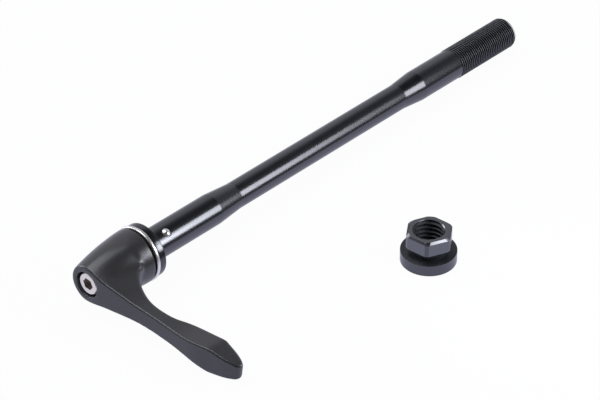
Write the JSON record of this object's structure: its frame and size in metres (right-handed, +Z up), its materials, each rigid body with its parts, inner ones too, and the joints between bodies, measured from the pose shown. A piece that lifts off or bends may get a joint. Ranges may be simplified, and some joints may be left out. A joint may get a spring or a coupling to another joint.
{
  "type": "bicycle thru-axle",
  "caption": "Bicycle thru-axle with a clamped lever, a loose collar and washer, a sprung detent ball and a threaded end, with a flanged hexagon nut standing beside it.",
  "frame": {"origin": "centre of the collar's seat, on the axle's centre line", "axes": "+X runs along the lying axle from the collar to the thread, +Z is up, and the lever's arm points to -Y; the axle's thread end lies about 1.3 degrees lower"},
  "size_m": [0.2206, 0.0862, 0.0208],
  "materials": {
    "black_anodised": "satin",
    "collar_black": "gloss",
    "lever_black": "matt",
    "bright_steel": "polished",
    "ball_steel": "polished",
    "spring_steel": "drawn",
    "ring_rubber": "matt"
  },
  "bodies": {
    "seat": {"collar": "collar_black", "nut": "black_anodised"},
    "turning_axle": {"axle": "black_anodised", "lever": "lever_black", "lever_screw": "bright_steel", "collar_o_ring": "ring_rubber", "detent_spring": "spring_steel"},
    "washer": {"thrust_washer": "bright_steel"},
    "ball": {"detent_ball": "ball_steel"}
  },
  "joints": [
    {"name": "axle_turn", "type": "hinge", "parent": "seat", "child": "turning_axle", "pos_m": [0, 0, 0], "axis": [0.9997, 0, -0.0226], "continuous": true},
    {"name": "washer_turn", "type": "hinge", "parent": "turning_axle", "child": "washer", "pos_m": [0, 0, 0], "axis": [0.9997, 0, -0.0226], "continuous": true},
    {"name": "ball_press", "type": "slide", "parent": "turning_axle", "child": "ball", "axis": [-0.0192, 0.5249, -0.8509], "range_m": [0, 0.00065], "stiffness_N_per_m": 3600, "springref_m": -0.001, "deforming": ["detent_spring"]}
  ]
}
